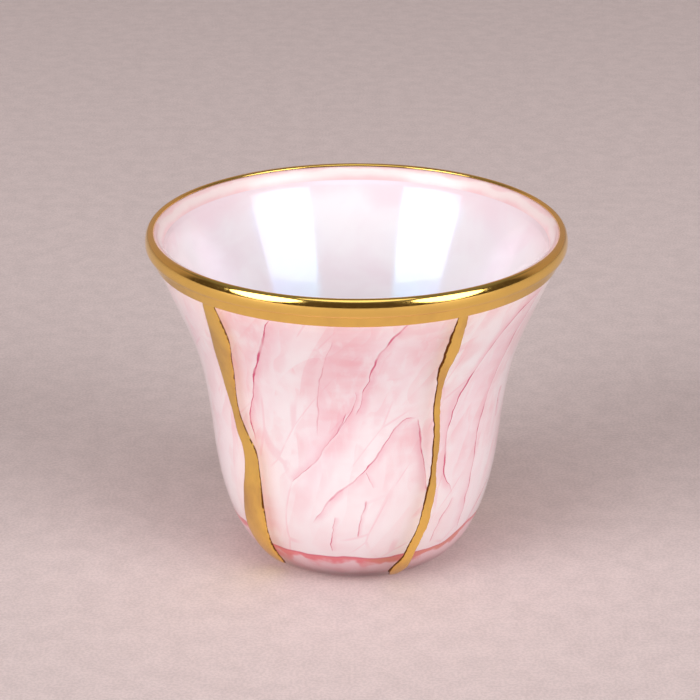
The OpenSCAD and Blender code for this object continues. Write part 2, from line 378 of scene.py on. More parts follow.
def curve_points(curve, shares, depth=0.0):
    """Points of a cubic at these shares of its run, moved depth off the glass.

    A point is the Bernstein sum of the four corners. Its tangent is the like sum of the three
    legs, and the tangent turned a quarter to the right is the step off the glass.
    """
    t = np.asarray(shares, dtype=float)[:, None]
    point = np.hstack(((1 - t) ** 3, 3 * t * (1 - t) ** 2, 3 * t**2 * (1 - t), t**3)) @ curve
    tangent = np.hstack(((1 - t) ** 2, 2 * t * (1 - t), t**2)) @ np.diff(curve, axis=0)
    off = np.column_stack((tangent[:, 1], -tangent[:, 0]))
    off /= np.linalg.norm(off, axis=1, keepdims=True)
    return point + np.reshape(depth, (-1, 1)) * off


def share_at(curve, height):
    """The share of a rising cubic's run at which it reaches this height."""
    shares = np.linspace(0, 1, 801)
    return float(np.interp(height, curve_points(curve, shares)[:, 1], shares))


def run(curves, legs):
    """Several stretches of the section end to end, as cubic pieces with their shares.

    Each leg is a curve's name, the shares where it starts and ends, and its number of steps.
    """
    pieces = []
    for name, start, end, steps in legs:
        shares = np.linspace(start, end, steps + 1)
        pieces.append((curves[name], shares[1:] if pieces else shares))
    return pieces


def run_points(pieces, depth=0.0):
    """Points of a run, moved depth off the glass. Depth is one value or one for each point."""
    counts = [len(shares) for _, shares in pieces]
    depths = np.split(np.broadcast_to(depth, sum(counts)), np.cumsum(counts)[:-1])
    return np.vstack([
        curve_points(curve, shares, part)
        for (curve, shares), part in zip(pieces, depths)
    ])


def way_along(points):
    """The way from the first of these points to each of them, along straight steps."""
    steps = np.linalg.norm(np.diff(points, axis=0), axis=1)
    return np.concatenate(((0,), np.cumsum(steps)))


def rounded_edges(points, radius):
    """Share of full thickness along a run with a quarter round at its start and at its end.

    With x the way from an end as a share of the radius, capped at 1, the share is the height of
    a circle, the square root of 1 - (1 - x) squared.
    """
    way = way_along(points)
    near = np.minimum(way, way[-1] - way)
    return np.sqrt(1 - (1 - np.clip(near / radius, 0, 1)) ** 2)


# Meshes


def ring_quads(rows, columns, closed):
    """Quads of a grid whose columns close into rings, and whose rows close too if asked."""
    row = np.arange(rows if closed else rows - 1)[:, None]
    column = np.arange(columns)[None, :]
    above, beside = (row + 1) % rows, (column + 1) % columns
    corners = (
        row * columns + column, row * columns + beside,
        above * columns + beside, above * columns + column,
    )
    return np.stack(corners, axis=-1).reshape(-1, 4)


def turned(radius, bearing, height):
    """Points round the cup's axis: at radius r and bearing b one stands at (r sin b, -r cos b)."""
    return np.stack(np.broadcast_arrays(
        radius * np.sin(bearing), -radius * np.cos(bearing), height
    ), axis=-1)


def revolved(profile, columns, closed=False):
    """A section turned once round the cup's axis, as points, faces and each point's bearing.

    An open section starts and ends on the axis, where a fan of triangles closes each pole.
    """
    rings = profile if closed else profile[1:-1]
    bearing = np.arange(columns) * FULL_TURN / columns
    points = turned(rings[:, :1], bearing, rings[:, 1:]).reshape(-1, 3)
    faces = ring_quads(len(rings), columns, closed).tolist()
    bearings = np.tile(bearing, len(rings))
    if closed:
        return points, faces, bearings
    first, last = len(points), len(points) + 1
    poles = np.array(((0, 0, profile[0, 1]), (0, 0, profile[-1, 1])))
    this = np.arange(columns)
    beside = (this + 1) % columns
    top = (len(rings) - 1) * columns
    faces += np.column_stack((np.full(columns, first), beside, this)).tolist()
    faces += np.column_stack((top + this, top + beside, np.full(columns, last))).tolist()
    return np.vstack((points, poles)), faces, np.concatenate((bearings, (0, 0)))


def add_piece(name, points, faces, materials, slot, *nodes):
    """A smooth mesh object that rides on the cup's body and stands for these CAD nodes."""
    mesh = bpy.data.meshes.new(name)
    mesh.from_pydata(points.tolist(), [], faces)
    mesh.shade_smooth()
    for material in materials:
        mesh.materials.append(material)
    piece = bpy.data.objects.new(name, mesh)
    bpy.context.collection.objects.link(piece)
    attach(piece, BODY)
    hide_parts(*nodes)
    return piece


def smooth_through(knots, steps):
    """A smooth curve through every knot: cubic pieces whose tilt is half the way between
    the knots on each side, cut into this many steps each."""
    ends = np.vstack((2 * knots[0] - knots[1], knots, 2 * knots[-1] - knots[-2]))
    tilt = (ends[2:] - ends[:-2]) / 2
    t = np.linspace(0, 1, steps, endpoint=False)[:, None, None]
    curve = (
        (2 * t**3 - 3 * t**2 + 1) * knots[:-1] + (t**3 - 2 * t**2 + t) * tilt[:-1]
        + (3 * t**2 - 2 * t**3) * knots[1:] + (t**3 - t**2) * tilt[1:]
    )
    return np.vstack((curve.transpose(1, 0, 2).reshape(-1, knots.shape[1]), knots[-1:]))


# Materials


class Shading:
    """Adds nodes to a tree and joins them, so that a finish reads as a list of its layers."""

    def __init__(self, tree):
        self.tree = tree

    def add(self, kind, inputs, **choices):
        """A node with these choices and inputs."""
        node = self.tree.nodes.new("ShaderNode" + kind)
        for name, value in choices.items():
            setattr(node, name, value)
        self.feed(node, inputs)
        return node

    def feed(self, node, inputs):
        """Gives a node its inputs: a socket is joined, and a colour or a number is set."""
        for key, value in inputs.items():
            if isinstance(value, bpy.types.NodeSocket):
                self.tree.links.new(value, node.inputs[key])
            else:
                opaque = isinstance(value, Color)
                node.inputs[key].default_value = (*value, 1.0) if opaque else value

    def show_to(self, share, other):
        """Gives this share of the rays another shader than the one that the surface has."""
        output = next(node for node in self.tree.nodes if node.type == "OUTPUT_MATERIAL")
        shown = output.inputs["Surface"].links[0].from_socket
        both = self.add("MixShader", {0: share, 1: shown, 2: other.outputs[0]})
        self.feed(output, {"Surface": both.outputs[0]})

    def attribute(self, name, part="Fac"):
        """What the mesh holds at its points under this name."""
        return self.add("Attribute", {}, attribute_name=name).outputs[part]

    def math(self, operation, first, second=0.0):
        """One sum on one or two values."""
        return self.add("Math", {0: first, 1: second}, operation=operation).outputs[0]

    def times(self, first, second):
        """One value times another."""
        return self.math("MULTIPLY", first, second)

    def fade(self, value, start, end, low=0.0, high=1.0):
        """A value taken smoothly from low to high as it goes from start to end."""
        node = self.add(
            "MapRange", {0: value, 1: start, 2: end, 3: low, 4: high},
            interpolation_type="SMOOTHSTEP",
        )
        return node.outputs[0]

    def mix(self, share, first, second):
        """The first colour, with this share of the second."""
        node = self.add("Mix", {0: share, 6: first, 7: second}, data_type="RGBA")
        return node.outputs[2]

    def object_place(self):
        """Object coordinates, which are metres in the cup's own frame."""
        return self.add("TexCoord", {}).outputs["Object"]

    def stretched(self, vector, scale):
        """Coordinates stretched by a scale for each axis."""
        return self.add("Mapping", {0: vector, 3: scale}).outputs[0]

    def clouds(self, vector, size, detail=2.0, roughness=0.5, distortion=0.0):
        """Soft noise whose clouds are about this size in metres."""
        node = self.add("TexNoise", {
            "Vector": vector, "Scale": 1 / size, "Detail": detail,
            "Roughness": roughness, "Distortion": distortion,
        })
        return node.outputs["Fac"]

    def cell_walls(self, vector, size):
        """Distance to the nearest wall between cells of about this size, as a share of it."""
        node = self.add(
            "TexVoronoi", {"Vector": vector, "Scale": 1 / size}, feature="DISTANCE_TO_EDGE"
        )
        return node.outputs["Distance"]

    def slanted(self, vector, height, degrees):
        """Coordinates turned about the upright axis by these degrees for each millimetre up."""
        twist = self.times(height, -math.radians(degrees) / MM)
        node = self.add("VectorRotate", {"Vector": vector, "Angle": twist}, rotation_type="Z_AXIS")
        return node.outputs[0]

    def swept(self, vector, count):
        """Fields side by side round the upright axis, each going from 0 to 1 towards the right.

        The share of a full turn, times a whole count and pushed about by long soft noise, is cut
        to its fraction, which drops from 1 to 0 at each crisp edge.
        """
        turn = self.add("TexGradient", {0: vector}, gradient_type="RADIAL").outputs["Fac"]
        push = self.clouds(self.stretched(vector, (1, 1, 0.3)), 120 * MM / count, detail=1)
        way = self.math("ADD", self.times(turn, count), self.times(push, 2))
        return self.math("FRACT", way)

    def bump(self, height, distance, **under):
        """A normal tilted by a height map whose full range is this distance, over another one
        if it is given as Normal."""
        node = self.add("Bump", {"Height": height, "Distance": distance, "Strength": 1.0, **under})
        return node.outputs["Normal"]


def new_material(name):
    """A node material, the helper for its tree, and the shader that its surface has."""
    material = bpy.data.materials.new(name)
    material.use_nodes = True
    tree = material.node_tree
    tree.nodes.clear()
    shading = Shading(tree)
    shader = shading.add("BsdfPrincipled", {})
    shading.add("OutputMaterial", {"Surface": shader.outputs[0]})
    return material, shading, shader


def clear_glass():
    """Pressed clear glass: faintly wavy, a little smeared, and clear to light from the lamps.

    A ray from the enamel to a lamp leaves the glass straight, so that the enamel is lit as it
    would be through real glass, and scattered light goes straight through. A ray from the table
    to a lamp stops at the glass, which would turn it aside. All other rays bend.
    """
    material, shading, shader = new_material("clear_glass")
    place = shading.object_place()
    smear = shading.clouds(place, 9 * MM, detail=3)
    waves = shading.clouds(place, 14 * MM, detail=1)
    shading.feed(shader, {
        "Base Color": (1, 1, 1, 1), "IOR": 1.5, "Transmission Weight": 1.0,
        "Roughness": shading.fade(smear, 0.45, 0.75, 0.0, 0.03),
        "Normal": shading.bump(waves, 0.02 * MM),
    })
    path = shading.add("LightPath", {}).outputs
    leaving = shading.add("NewGeometry", {}).outputs["Backfacing"]
    lamp = shading.times(path["Is Shadow Ray"], leaving)
    light = shading.math("MAXIMUM", lamp, path["Is Diffuse Ray"])
    shading.show_to(light, shading.add("BsdfTransparent", {}))
    return material


def crack_group():
    """A node group that draws one crack from its field: a thin core, one soft side, and a pale
    edge on the other."""
    tree = bpy.data.node_groups.new("enamel_crack", "ShaderNodeTree")
    for name, kind in (("Field", "Vector"), ("Waver", "Float"), ("Swell", "Float"),
                       ("Width", "Float"), ("Reach", "Float"), ("Depth", "Float")):
        tree.interface.new_socket(name, in_out="INPUT", socket_type="NodeSocket" + kind)
    for name in ("Core", "Bleed", "Pale"):
        tree.interface.new_socket(name, in_out="OUTPUT", socket_type="NodeSocketFloat")
    shading = Shading(tree)
    source = tree.nodes.new("NodeGroupInput").outputs
    result = tree.nodes.new("NodeGroupOutput").inputs
    field = shading.add("SeparateXYZ", {0: source["Field"]}).outputs
    aside = shading.math("ADD", field[0], source["Waver"])
    ends = shading.times(shading.fade(field[1], 0.0, 0.08), shading.fade(field[1], 1.0, 0.92))
    shown = shading.times(shading.times(ends, field[2]), source["Depth"])
    width = shading.times(source["Width"], source["Swell"])
    inner = shading.times(width, 0.4)
    core = shading.fade(shading.math("ABSOLUTE", aside), width, inner)
    soft_side = shading.math("DIVIDE", aside, source["Reach"])
    bleed = shading.times(shading.fade(soft_side, 1.0, 0.0), shading.fade(soft_side, -0.08, 0.02))
    pale = shading.times(shading.fade(soft_side, -0.4, -0.1), shading.fade(soft_side, 0.02, -0.06))
    for name, drawn in (("Core", core), ("Bleed", bleed), ("Pale", pale)):
        tree.links.new(shading.times(drawn, shown), result[name])
    return tree


def marbled_enamel(colours):
    """Marbled enamel: brushed fields, thin cracks over them and a coral ring round the base."""
    material, shading, shader = new_material("marbled_enamel")
    place = shading.object_place()
    across, _, height = shading.add("SeparateXYZ", {0: place}).outputs
    streaks = shading.clouds(shading.stretched(place, (1, 1, 0.12)), 1.6 * MM, detail=3)
    paint = brushed_fields(shading, colours, place, height, streaks)
    paint = drawn_cracks(shading, colours, place, streaks, paint)
    paint = coral_ring(shading, colours, place, across, height, paint)
    shading.feed(shader, {"Base Color": paint, "Roughness": 0.6, "Specular IOR Level": 0.1})
    return material


def brushed_fields(shading, colours, place, height, streaks):
    """Pale and pink fields that slant down to the left, with pinker clouds, pale streaks and
    faint hairlines."""
    fields = shading.clouds(
        shading.stretched(shading.slanted(place, height, 1.1), (1, 1, 0.25)), 9 * MM, detail=3
    )
    strokes = shading.clouds(shading.stretched(place, (0.25, 0.25, 1)), 1.8 * MM, detail=2)
    calm = shading.fade(height, 9 * MM, 25 * MM, 0.3, 1.0)
    paint = shading.mix(
        shading.times(calm, shading.fade(fields, 0.4, 0.7)),
        colours.enamel_pale, colours.enamel_pink,
    )
    for count, slant, strength in SWEEPS:
        sweep = shading.swept(shading.slanted(place, height, slant), count)
        parts = shading.clouds(place, 90 * MM / count, detail=2)
        shown = shading.times(calm, shading.fade(parts, 0.42, 0.58, 0.0, strength))
        deep = shading.fade(sweep, 0.8, 0.0)
        paint = shading.mix(shading.times(shown, deep), paint, colours.enamel_blush)
        ribbon = shading.fade(sweep, 0.7, 0.95)
        paint = shading.mix(shading.times(shown, ribbon), paint, colours.enamel_pale)
    brushed = shading.fade(strokes, 0.3, 0.65, 0.45, 1.0)
    blush = shading.times(shading.attribute("blush"), brushed)
    paint = shading.mix(blush, paint, colours.enamel_blush)
    pale = shading.fade(streaks, 0.5, 0.75, 0.0, 0.5)
    paint = shading.mix(pale, paint, colours.enamel_pale)

    hairs = shading.cell_walls(
        shading.stretched(shading.slanted(place, height, 1.4), (1, 1, 0.3)), 7 * MM
    )
    parts = shading.fade(shading.clouds(place, 8 * MM, detail=2), 0.48, 0.62, 0.0, 0.25)
    hairs = shading.times(parts, shading.fade(hairs, 0.025, 0.008))
    return shading.mix(hairs, paint, colours.enamel_bleed)


def drawn_cracks(shading, colours, place, streaks, paint):
    """The cracks over this paint, each wavering, swelling and wearing thin in places."""
    waver = shading.clouds(place, 2.5 * MM, detail=3)
    waver = shading.fade(waver, 0.2, 0.8, -0.1, 0.1)
    wear = shading.clouds(place, 3.5 * MM, detail=1)
    swell = shading.fade(shading.clouds(place, 5 * MM, detail=2), 0.35, 0.65, 0.45, 1.4)
    group = crack_group()
    drawn = (0.0, 0.0, 0.0)
    for index, (_, width, reach, depth) in enumerate(CRACKS):
        crack = shading.add("Group", {
            "Field": shading.attribute(f"crack_{index}", "Vector"), "Waver": waver,
            "Swell": swell, "Width": width, "Reach": reach, "Depth": depth,
        }, node_tree=group)
        drawn = [
            shading.math("MAXIMUM", before, this) for before, this in zip(drawn, crack.outputs)
        ]
    core, bleed, pale = drawn
    bleed = shading.times(bleed, shading.fade(streaks, 0.25, 0.7, 0.15, 0.6))
    pale = shading.times(pale, 0.4)
    core = shading.times(core, shading.fade(wear, 0.35, 0.6, 0.3, 1.0))
    paint = shading.mix(bleed, paint, colours.enamel_bleed)
    paint = shading.mix(pale, paint, colours.enamel_pale)
    return shading.mix(core, paint, colours.enamel_crack)


def coral_ring(shading, colours, place, across, height, paint):
    """The ring round the base over this paint, crisp above and soft below, and the mottled enamel
    under it. It runs higher on the two sides."""
    wander = shading.clouds(place, 6 * MM, detail=2)
    blotch = shading.clouds(place, 3 * MM, detail=2)
    low = shading.math("ADD", height, shading.fade(wander, 0.2, 0.8, -0.35 * MM, 0.35 * MM))
    aside = shading.math("ABSOLUTE", across)
    low = shading.math("SUBTRACT", low, shading.fade(aside, 11.5 * MM, 16.5 * MM, 0.0, RING_LIFT))
    below = shading.fade(low, RING_H, RING_H - 0.15 * MM)
    base = shading.mix(
        shading.fade(blotch, 0.4, 0.65, 0.0, 0.6), colours.enamel_base, colours.enamel_blush
    )
    paint = shading.mix(below, paint, base)
    ring = shading.mix(
        shading.fade(shading.clouds(place, 12 * MM), 0.5, 0.75),
        colours.enamel_coral, colours.enamel_amber,
    )
    depth = shading.fade(blotch, 0.3, 0.7, 0.9 * MM, 2.6 * MM)
    soft = shading.math("SUBTRACT", RING_H, low)
    soft = shading.times(below, shading.fade(shading.math("DIVIDE", soft, depth), 1, 0.4))
    paint = shading.mix(soft, paint, ring)
    edge = shading.math("ABSOLUTE", shading.math("SUBTRACT", low, RING_H - 0.1 * MM))
    edge = shading.fade(edge, 0.2 * MM, 0.05 * MM, 0.0, 0.5)
    return shading.mix(edge, paint, colours.enamel_crack)


def lip_glaze(cup, colours):
    """Glossy glaze where the enamel shows inside the lip: pale, pinker at both its edges."""
    material, shading, shader = new_material("lip_glaze")
    place = shading.object_place()
    height = shading.add("SeparateXYZ", {0: place}).outputs[2]
    clouds = shading.clouds(place, 6 * MM, detail=3)
    low = shading.math("ADD", height, shading.fade(clouds, 0.2, 0.8, -0.4 * MM, 0.4 * MM))
    top = cup.cup_h - cup.band_t
    share = shading.math(
        "MAXIMUM", shading.fade(low, top - 1.0 * MM, top - 2.2 * MM),
        shading.fade(low, top - 0.6 * MM, top - 0.1 * MM, 0.0, 0.8),
    )
    orange_peel = shading.clouds(place, 1.5 * MM, detail=1)
    shading.feed(shader, {
        "Base Color": shading.mix(share, colours.glaze, colours.glaze_low),
        "Normal": shading.bump(orange_peel, 0.01 * MM),
        "Roughness": 0.3, "Coat Weight": 0.15, "Coat Roughness": 0.1,
    })
    return material


def pearl_glaze(cup, colours):
    """Pearl lustre: milk white with lilac clouds, a thin film's colours in its gloss, and a
    pinker edge where it thins out under the lip.

    It has run down the wall as it was fired, so it thins towards the lip and swells below, which
    bends what its gloss mirrors.
    """
    material, shading, shader = new_material("pearl_glaze")
    place = shading.object_place()
    height = shading.add("SeparateXYZ", {0: place}).outputs[2]
    clouds = shading.clouds(place, 13 * MM, detail=3, distortion=0.8)
    paint = shading.mix(shading.fade(clouds, 0.35, 0.68), colours.pearl, colours.pearl_shade)
    edge = cup.cup_h - cup.band_t - cup.bead_h
    low = shading.math("ADD", height, shading.fade(clouds, 0.2, 0.8, -1.5 * MM, 1.5 * MM))
    thin = shading.fade(low, edge - 4.5 * MM, edge + 0.3 * MM, 0.0, 0.9)
    flow = shading.clouds(shading.stretched(place, (1, 1, 0.4)), 4 * MM, detail=2)
    swell = shading.math(
        "ADD", shading.fade(height, cup.waist_h + 24 * MM, cup.waist_h, 0.0, 2.0),
        shading.fade(height, edge - 2.5 * MM, edge + 2.5 * MM, 0.55, 0.0),
    )
    shading.feed(shader, {
        "Base Color": shading.mix(thin, paint, colours.enamel_pink),
        "Roughness": shading.fade(flow, 0.3, 0.7, 0.1, 0.2),
        "Normal": shading.bump(flow, 0.015 * MM, Normal=shading.bump(swell, MM)),
        "Specular IOR Level": 0.7, "Thin Film Thickness": 330, "Thin Film IOR": 1.45,
        "Coat Weight": 0.6, "Coat Roughness": 0.06,
    })
    return material


def bright_gold(name, colours, ripple, wear):
    """Fired bright gold: polished, rippled by the brush, browner and duller where it is thin, and
    dark along an edge where the piece's own attribute says, as burnt gold and painted shade.

    Light creeps in under it through the glass and the milky enamel, so that its shade on them is
    faint: both its faces let most of a lamp's light by.
    """
    material, shading, shader = new_material(name)
    place = shading.object_place()
    patches = shading.clouds(shading.stretched(place, (1, 1, 0.6)), 6 * MM, detail=3)
    worn = shading.fade(patches, 0.42, 0.7, 0.0, wear)
    paint = shading.mix(worn, colours.gold, colours.gold_worn)
    grain = shading.clouds(place, 0.7 * MM, detail=3)
    speckled = shading.fade(grain, 0.3, 0.7, -0.25, 0.25)
    # Darkened vein edges: burnt gold, with painted shade of the raised side.
    burn_and_shade = shading.math("ADD", shading.attribute("burn_and_shade"), speckled)
    dull = shading.fade(grain, 0.3, 0.7, 0.07, 0.14)
    brush = shading.clouds(shading.stretched(place, (1, 1, 0.5)), 2.2 * MM, detail=2)
    shading.feed(shader, {
        "Base Color": shading.mix(shading.fade(burn_and_shade, 0.4, 0.8), paint, colours.gold_burn_and_shade),
        "Roughness": shading.math("ADD", dull, shading.times(worn, 0.1)),
        "Normal": shading.bump(brush, ripple), "Metallic": 1.0,
    })
    clear = shading.add("BsdfTransparent", {})
    veil = shading.add("MixShader", {0: VEIN_PASS, 1: shader.outputs[0], 2: clear.outputs[0]})
    shading.show_to(shading.add("LightPath", {}).outputs["Is Shadow Ray"], veil)
    return material


def matt_floor(colours):
    """A matt table top, faintly mottled and grained."""
    material, shading, shader = new_material("matt_floor")
    place = shading.object_place()
    mottle = shading.clouds(place, 4 * MM, detail=4, roughness=0.6)
    grain = shading.clouds(place, 0.45 * MM, detail=2)
    mottled = shading.fade(mottle, 0.3, 0.7, 0.0, 0.45)
    share = shading.math("ADD", mottled, shading.fade(grain, 0.38, 0.62, 0.0, 0.55))
    paint = shading.mix(share, colours.floor, FLOOR_SHADE * colours.floor)
    shading.feed(shader, {"Base Color": paint, "Roughness": 0.75, "Specular IOR Level": 0.2})
    return material


# Pieces


class CUP_OT_stage(bpy.types.Operator):
    """Sets the floor, the light from all round, three soft boxes and the camera"""

    bl_idname = "cup.stage"
    bl_label = "Stage"

    def execute(self, context):
        cup, colours, stage = settings()
        scene = context.scene
        scene.view_settings.view_transform = "Standard"
        half = stage.floor_w / 2
        corners = half * np.array(((-1, -1, 0), (1, -1, 0), (1, 1, 0), (-1, 1, 0)))
        corners[:, 2] = -stage.floor_drop
        mesh = bpy.data.meshes.new("floor")
        mesh.from_pydata(corners.tolist(), [], [(0, 1, 2, 3)])
        mesh.materials.append(matt_floor(colours))
        floor = bpy.data.objects.new("floor", mesh)
        context.collection.objects.link(floor)

        scene.world = studio_light(colours, stage)
        side, rise, size = stage.lamp_side, stage.lamp_rise, (stage.lamp_w, stage.lamp_h)
        across = (stage.top_w, stage.top_w)
        for name, bearing, above, box, brightness in (
            ("soft_box_left", -side, rise, size, stage.left_level),
            ("soft_box_right", side, rise, size, stage.right_level),
            ("soft_box_top", 0, stage.top_rise, across, stage.top_level),
        ):
            lamp = add_soft_box(name, box, brightness)
            flat = stage.lamp_distance * math.cos(above)
            up = stage.lamp_distance * math.sin(above)
            lamp.location = turned(flat, bearing, cup.cup_h / 2 + up)
            lamp.rotation_euler = (math.pi / 2 - above, 0, bearing)
        add_camera(cup, stage)
        return {"FINISHED"}


def studio_light(colours, stage):
    """A pale ceiling over a dim room, with the table's paper rising behind the cup, so that gold
    has something to show."""
    world = bpy.data.worlds.new("studio")
    world.use_nodes = True
    shading = Shading(world.node_tree)
    background = world.node_tree.nodes["Background"]
    direction = shading.add("TexCoord", {}).outputs["Generated"]
    _, back, rise = shading.add("SeparateXYZ", {0: direction}).outputs
    paper = shading.times(shading.fade(back, 0.0, 0.4), shading.fade(rise, 0.75, 0.5))
    room = shading.fade(rise, 0.45, 0.8, stage.horizon_level, stage.sky_level)
    strength = shading.math("MAXIMUM", room, shading.times(paper, stage.paper_level))
    tint = shading.mix(shading.fade(rise, 0.45, 0.8), colours.room, colours.ceiling)
    tint = shading.mix(paper, tint, colours.paper)
    shading.feed(background, {"Strength": strength, "Color": tint})
    return world


def add_soft_box(name, size, brightness):
    """An oval soft box. Its power is its brightness times pi times its area."""
    lamp = bpy.data.lights.new(name, "AREA")
    lamp.shape = "ELLIPSE"
    lamp.size, lamp.size_y = size
    lamp.energy = brightness * math.pi * math.pi / 4 * size[0] * size[1]
    holder = bpy.data.objects.new(name, lamp)
    holder.visible_camera = False
    bpy.context.collection.objects.link(holder)
    return holder


def add_camera(cup, stage):
    """The camera at its distance from the middle of the rim, sloping down."""
    camera = bpy.data.cameras.new("camera")
    camera.sensor_width = SENSOR_W / MM
    camera.lens = stage.focal_px * camera.sensor_width / FRAME_PX
    camera.clip_start = 0.01
    holder = bpy.data.objects.new("camera", camera)
    holder.location = (
        -stage.view_shift,
        -stage.view_distance * math.cos(stage.view_rise),
        cup.cup_h + stage.view_distance * math.sin(stage.view_rise),
    )
    holder.rotation_euler = (math.pi / 2 - stage.view_pitch, 0, 0)
    bpy.context.collection.objects.link(holder)
    bpy.context.scene.camera = holder


class CUP_OT_glass_body(bpy.types.Operator):
    """Turns the glass bell from its section: hollow foot, heel, flare, beaded lip and floor"""

    bl_idname = "cup.glass_body"
    bl_label = "Glass body"

    def execute(self, context):
        cup, _, _ = settings()
        legs = [(name, 0, 1, steps) for name, steps in GLASS_STEPS.items()]
        profile = run_points(run(section_curves(cup), legs))
        points, faces, _ = revolved(profile, COLUMNS)
        add_piece("glass_bell", points, faces, [clear_glass()], "glass", "glass_body")
        return {"FINISHED"}


def coat_profile(pieces, inside, outside, feather):
    """A coat's closed section from the axis: up its glass side, over its edge at the lip, and
    down its open side.

    With x the way from the edge as a share of the feather, capped at 1, the thickness rises from
    nothing as x squared times 3 - 2 x.
    """
    face = run_points(pieces, inside)
    x = np.clip(way_along(face) / feather, 0, 1)
    top = run_points(pieces, inside + x**2 * (3 - 2 * x) * (outside - inside))
    return np.vstack((face[::-1], top[1:]))


class CUP_OT_marble_enamel(bpy.types.Operator):
    """Lays the marbled enamel on the inside of the glass, from the lip to the floor"""

    bl_idname = "cup.marble_enamel"
    bl_label = "Marbled enamel"

    def execute(self, context):
        cup, colours, _ = settings()
        legs = (
            ("lip_inside", cup.wrap_share, 1, 10), ("flare_inside", 0, 1, 64),
            ("corner", 0, 1, 44), ("floor", 0, 1, 6),
        )
        pieces = run(section_curves(cup), legs)
        profile = coat_profile(pieces, -BOND, cup.enamel_t, ENAMEL_FEATHER)
        points, faces, bearings = revolved(profile, COLUMNS)
        materials = [marbled_enamel(colours), lip_glaze(cup, colours)]
        piece = add_piece("marbled_coat", points, faces, materials, "enamel", "marble_enamel")
        mesh = piece.data
        # The side on the glass is marbled, and the open side is glazed.
        rows = (len(profile) - 3) * COLUMNS
        glass_rows = (len(profile) // 2 - 1) * COLUMNS
        finish = np.zeros(len(mesh.polygons), dtype=np.int32)
        finish[glass_rows:rows] = 1
        finish[rows + COLUMNS:] = 1
        mesh.polygons.foreach_set("material_index", finish)
        paint_marbling(mesh, points, bearings)
        return {"FINISHED"}


def paint_marbling(mesh, points, bearings):
    """Writes the marbling to the mesh: the depth of blush, and each crack's field."""
    radius = np.hypot(points[:, 0], points[:, 1]) / MM
    height = points[:, 2] / MM
    bearing = np.degrees(bearings)
    behind = tuple((180 - turn, *rest) for turn, *rest in BLUSHES)
    blush = np.max([
        depth * np.exp(-(nearest_turn(bearing - turn) / wide) ** 2 - ((height - up) / tall) ** 2)
        for turn, up, wide, tall, depth in BLUSHES + behind
    ], axis=0)
    mesh.attributes.new("blush", "FLOAT", "POINT").data.foreach_set("value", blush)
    for index, (route, *_) in enumerate(CRACKS):
        front = crack_field(np.array(route, dtype=float), index, bearing, height, radius)
        behind = np.array(route, dtype=float) * (-1, 1) + (180, 0)
        back = crack_field(behind, index + len(CRACKS), bearing, height, radius)
        field = np.where(front[:, 2:] >= back[:, 2:], front, back)
        attribute = mesh.attributes.new(f"crack_{index}", "FLOAT_VECTOR", "POINT")
        attribute.data.foreach_set("vector", field.ravel())


def nearest_turn(degrees):
    """An angle brought to between -180 and 180 degrees."""
    return (degrees + 180) % 360 - 180


def crack_field(route, seed, bearing, height, radius):
    """How wall points lie to one crack: millimetres to its right, share of its run, nearness.

    The wall is unrolled about the crack's own bearing, so a point lies at its turn times its
    radius, and its height. The crack is a smooth curve through its route in short straight
    bits, pushed aside by an uneven line. A point's nearest bit gives how far it is to the right
    and along, and its nearness fades from 1 to 0 towards the reach of its field.
    """
    middle = route[:, 0].mean()
    line = smooth_through(route, 10)
    order = np.argsort(height)
    line_radius = np.interp(line[:, 1], height[order], radius[order])
    line = np.column_stack((np.radians(line[:, 0] - middle) * line_radius, line[:, 1]))
    line[:, 0] += CRACK_UNEVEN * uneven(line[:, 1], seed)
    place = np.column_stack((np.radians(nearest_turn(bearing - middle)) * radius, height))
    field = np.zeros((len(place), 3))
    low, high = line.min(0) - CRACK_REACH, line.max(0) + CRACK_REACH
    close = np.all((place > low) & (place < high), axis=1)
    start, bit = line[:-1], np.diff(line, axis=0)
    size = (bit**2).sum(1)
    offset = place[close][:, None, :] - start
    share = (offset * bit).sum(2) / size
    first, last = np.zeros(len(bit)), np.ones(len(bit))
    first[0], last[-1] = -np.inf, np.inf
    held = np.clip(share, first, last)
    gap = offset - held[..., None] * bit
    nearest = np.argmin((gap**2).sum(2), axis=1)
    row = np.arange(len(nearest))
    gap, bits = gap[row, nearest], bit[nearest]
    side = np.sign(bits[:, 0] * gap[:, 1] - bits[:, 1] * gap[:, 0])
    way = np.concatenate(((0,), np.cumsum(np.sqrt(size))))
    along = (way[nearest] + held[row, nearest] * np.sqrt(size[nearest])) / way[-1]
    distance = np.linalg.norm(gap, axis=1)
    past = np.maximum(np.maximum(-along, along - 1), 0) * way[-1]
    near = np.clip((CRACK_REACH - np.hypot(distance, past)) / CRACK_FADE, 0, 1)
    field[close] = np.column_stack((side * distance, along, near))
    return field


class CUP_OT_pearl_lining(bpy.types.Operator):
    """Lays the pearl lining over the enamel, thinning out under the lip"""

    bl_idname = "cup.pearl_lining"
    bl_label = "Pearl lining"

    def execute(self, context):
        cup, colours, _ = settings()
        legs = (
            ("flare_inside", 0, 0.06, 16), ("flare_inside", 0.06, 1, 52),
            ("corner", 0, 1, 40), ("floor", 0, 1, 6),
        )
        pieces = run(section_curves(cup), legs)
        profile = coat_profile(
            pieces, cup.enamel_t - BOND, cup.enamel_t + cup.lining_t, LINING_FEATHER
        )
        points, faces, _ = revolved(profile, COLUMNS)
        material = pearl_glaze(cup, colours)
        add_piece("pearl_coat", points, faces, [material], "pearl", "pearl_lining")
        return {"FINISHED"}


